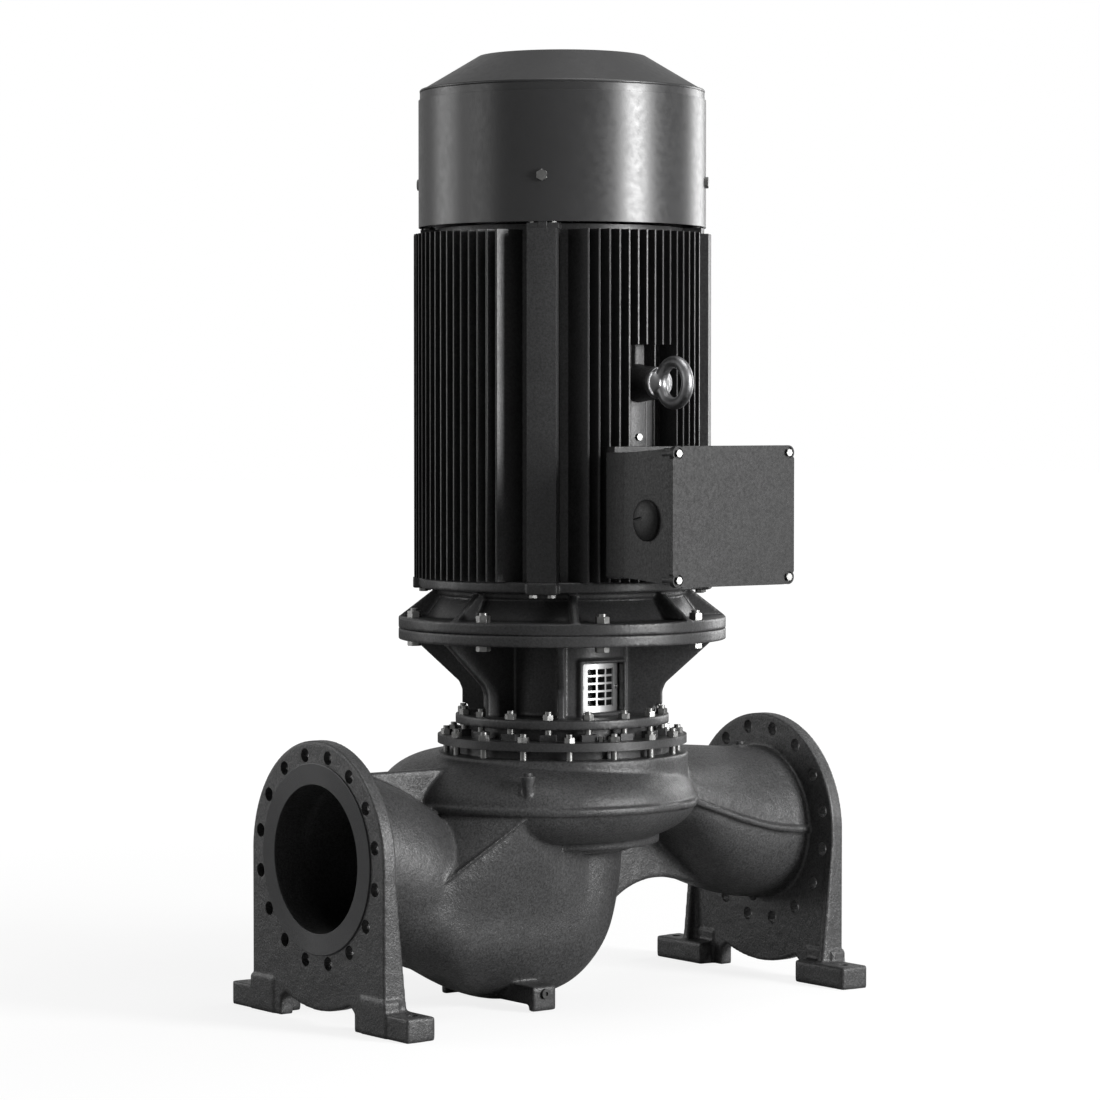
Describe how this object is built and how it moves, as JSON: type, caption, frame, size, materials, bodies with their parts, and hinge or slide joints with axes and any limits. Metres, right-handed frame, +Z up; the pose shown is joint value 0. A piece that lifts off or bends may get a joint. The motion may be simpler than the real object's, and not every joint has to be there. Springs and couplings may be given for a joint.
{
  "type": "vertical in-line pump",
  "caption": "Vertical in-line circulation pump: cast volute casing with flanged ports in line, motor stool, finned electric motor with fan cowl, terminal box and lifting eyes.",
  "frame": {"origin": "on the floor midway between the two port faces, at the centre of the four foundation bolts", "axes": "+X along the pipe in the flow direction from suction to discharge, +Z up along the shaft, +Y completes the right-handed frame; the terminal box faces -Y"},
  "size_m": [1.4, 1.1605, 2.292],
  "materials": {
    "cast_black": "satin charcoal paint on a cast skin",
    "motor_black": "satin black paint on cast fins",
    "sheet_black": "smooth satin black paint on sheet steel",
    "zinc": "bright zinc plating",
    "steel": "turned steel",
    "stainless": "bright stainless sheet",
    "iron": "machined cast iron",
    "bronze": "cast bronze",
    "brass": "turned brass",
    "copper": "enamelled copper wire, taped",
    "aluminium": "cast aluminium",
    "rubber": "matt rubber",
    "carbon": "lapped carbon",
    "board": "moulded insulating board",
    "fan_plastic": "moulded fan"
  },
  "bodies": {
    "stator": {"casing": "cast_black", "casing_wear_ring": "bronze", "casing_plugs": "zinc", "cover": "cast_black", "cover_seal_ring": "rubber", "cover_studs": "zinc", "cover_nuts": "zinc", "motor_stool": "cast_black", "stool_studs": "zinc", "stool_nuts": "zinc", "coupling_guards": "stainless", "guard_grilles": "stainless", "guard_screws": "zinc", "seal_seat": "carbon", "stator_core": "steel", "stator_windings": "copper", "motor_frame": "motor_black", "drive_endshield": "motor_black", "fan_endshield": "motor_black", "endshield_screws": "zinc", "drive_bearing_outer": "steel", "fan_bearing_outer": "steel", "bearing_caps": "motor_black", "preload_spring": "steel", "fan_cowl": "sheet_black", "cowl_canopy": "sheet_black", "cowl_screws": "zinc", "motor_flange_bolts": "zinc", "motor_flange_nuts": "zinc", "terminal_box": "motor_black", "box_gasket": "rubber", "box_lid": "motor_black", "box_lid_screws": "zinc", "terminal_board": "board", "terminal_studs": "brass", "cable_entry_plugs": "motor_black", "eyebolts": "steel", "earth_screw": "brass"},
    "rotor": {"pump_shaft": "steel", "impeller": "bronze", "impeller_key": "steel", "impeller_nut": "zinc", "coupling_halves": "iron", "coupling_screws": "zinc", "motor_shaft": "steel", "shaft_key": "steel", "rotor_core": "steel", "rotor_end_rings": "aluminium", "drive_bearing_inner": "steel", "fan_bearing_inner": "steel", "shaft_v_ring": "rubber", "fan": "fan_plastic", "fan_circlip": "steel", "seal_face": "carbon", "seal_bellows": "stainless", "seal_collar": "steel"},
    "drive_balls": {"drive_bearing_balls": "steel"},
    "fan_balls": {"fan_bearing_balls": "steel"},
    "vent": {"vent_screw": "brass"}
  },
  "joints": [
    {"name": "rotor_spin", "type": "hinge", "parent": "stator", "child": "rotor", "pos_m": [0.025, 0, 1], "axis": [0, 0, 1], "continuous": true},
    {"name": "drive_balls_spin", "type": "hinge", "parent": "stator", "child": "drive_balls", "pos_m": [0.025, 0, 0.972], "axis": [0, 0, 1], "continuous": true},
    {"name": "fan_balls_spin", "type": "hinge", "parent": "stator", "child": "fan_balls", "pos_m": [0.025, 0, 1.845], "axis": [0, 0, 1], "continuous": true},
    {"name": "vent_turn", "type": "hinge", "parent": "stator", "child": "vent", "pos_m": [-0.04941, -0.25121, 0.645], "axis": [0, 0, 1], "range_deg": [0, 360]}
  ],
  "couplings": [
    {"joint": "drive_balls_spin", "follows": "rotor_spin", "ratio": 0.411},
    {"joint": "fan_balls_spin", "follows": "rotor_spin", "ratio": 0.414}
  ]
}
